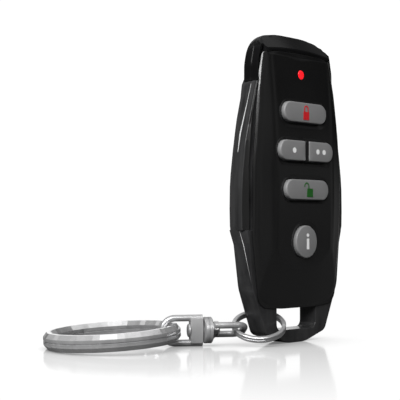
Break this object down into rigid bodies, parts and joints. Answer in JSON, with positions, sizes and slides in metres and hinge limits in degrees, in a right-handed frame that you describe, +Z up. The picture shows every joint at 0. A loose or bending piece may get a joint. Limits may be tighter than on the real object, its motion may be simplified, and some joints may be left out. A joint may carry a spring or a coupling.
{
  "type": "alarm key fob",
  "caption": "Slim remote key fob with raised keys, a status lamp under a sloped hood, a loop frame and a swivel key chain with split rings.",
  "frame": {"origin": "middle of the flat foot under the loop, on the floor", "axes": "+Z up the fob, -Y out of the keys, +X to the right as seen from the keys"},
  "size_m": [0.0718, 0.0403, 0.072],
  "materials": {
    "front_cover": "gloss",
    "mid_housing": "gloss",
    "rear_cover": "satin",
    "case_gasket": "matt",
    "case_screws": "plain",
    "loop_frame": "satin",
    "grip_left": "satin",
    "grip_right": "satin",
    "lock_key": "satin",
    "unlock_key": "satin",
    "one_dot_key": "satin",
    "two_dot_key": "satin",
    "info_key": "satin",
    "lamp_lens": "gloss",
    "keypad_mat": "matt",
    "snap_domes": "plain",
    "circuit_board": "satin",
    "controller_chip": "matt",
    "radio_chip": "matt",
    "crystal": "plain",
    "chip_parts": "matt",
    "antenna": "plain",
    "status_led": "gloss",
    "coin_cell": "satin",
    "cell_holder": "matt",
    "negative_contact": "plain",
    "positive_contact": "plain",
    "small_ring": "polished",
    "fob_link": "polished",
    "swivel_collar": "polished",
    "swivel_pin": "polished",
    "ring_link": "polished",
    "key_ring": "polished"
  },
  "bodies": {
    "case": {"front_cover": "front_cover", "mid_housing": "mid_housing", "rear_cover": "rear_cover", "loop_frame": "loop_frame", "grip_left": "grip_left", "grip_right": "grip_right", "case_gasket": "case_gasket", "case_screws": "case_screws", "keypad_mat": "keypad_mat", "snap_domes": "snap_domes", "circuit_board": "circuit_board", "controller_chip": "controller_chip", "radio_chip": "radio_chip", "crystal": "crystal", "chip_parts": "chip_parts", "antenna": "antenna", "status_led": "status_led", "coin_cell": "coin_cell", "cell_holder": "cell_holder", "negative_contact": "negative_contact", "positive_contact": "positive_contact", "lamp_lens": "lamp_lens"},
    "lock_key": {"lock_key": "lock_key"},
    "unlock_key": {"unlock_key": "unlock_key"},
    "one_dot_key": {"one_dot_key": "one_dot_key"},
    "two_dot_key": {"two_dot_key": "two_dot_key"},
    "info_key": {"info_key": "info_key"},
    "small_ring": {"small_ring": "small_ring"},
    "fob_link": {"fob_link": "fob_link", "swivel_collar": "swivel_collar", "swivel_pin": "swivel_pin"},
    "ring_link": {"ring_link": "ring_link"},
    "key_ring": {"key_ring": "key_ring"}
  },
  "joints": [
    {"name": "lock_key_press", "type": "slide", "parent": "case", "child": "lock_key", "axis": [0, 1, 0], "range_m": [0, 0.0005], "stiffness_N_per_m": 1500},
    {"name": "unlock_key_press", "type": "slide", "parent": "case", "child": "unlock_key", "axis": [0, 1, 0], "range_m": [0, 0.0005], "stiffness_N_per_m": 1500},
    {"name": "one_dot_key_press", "type": "slide", "parent": "case", "child": "one_dot_key", "axis": [0, 1, 0], "range_m": [0, 0.0005], "stiffness_N_per_m": 1500},
    {"name": "two_dot_key_press", "type": "slide", "parent": "case", "child": "two_dot_key", "axis": [0, 1, 0], "range_m": [0, 0.0005], "stiffness_N_per_m": 1500},
    {"name": "info_key_press", "type": "slide", "parent": "case", "child": "info_key", "axis": [0, 1, 0], "range_m": [0, 0.0005], "stiffness_N_per_m": 1500},
    {"name": "small_ring_turn", "type": "hinge", "parent": "case", "child": "small_ring", "pos_m": [-0.00945, 0, 0.00425], "axis": [0, 0, 1], "range_deg": [-12, 25]},
    {"name": "fob_link_swing", "type": "hinge", "parent": "small_ring", "child": "fob_link", "pos_m": [-0.01482, 0.00349, 0.00355], "axis": [-0.4447, -0.7829, -0.4351], "range_deg": [-30, 30]},
    {"name": "swivel_spin", "type": "hinge", "parent": "fob_link", "child": "ring_link", "pos_m": [-0.02237, 0.00839, 0.00355], "axis": [-0.8387, 0.5446, 0], "continuous": true},
    {"name": "key_ring_swing", "type": "hinge", "parent": "ring_link", "child": "key_ring", "pos_m": [-0.0266, 0.01114, 0.00355], "axis": [-0.5446, -0.8387, 0], "range_deg": [-50, 50]}
  ]
}
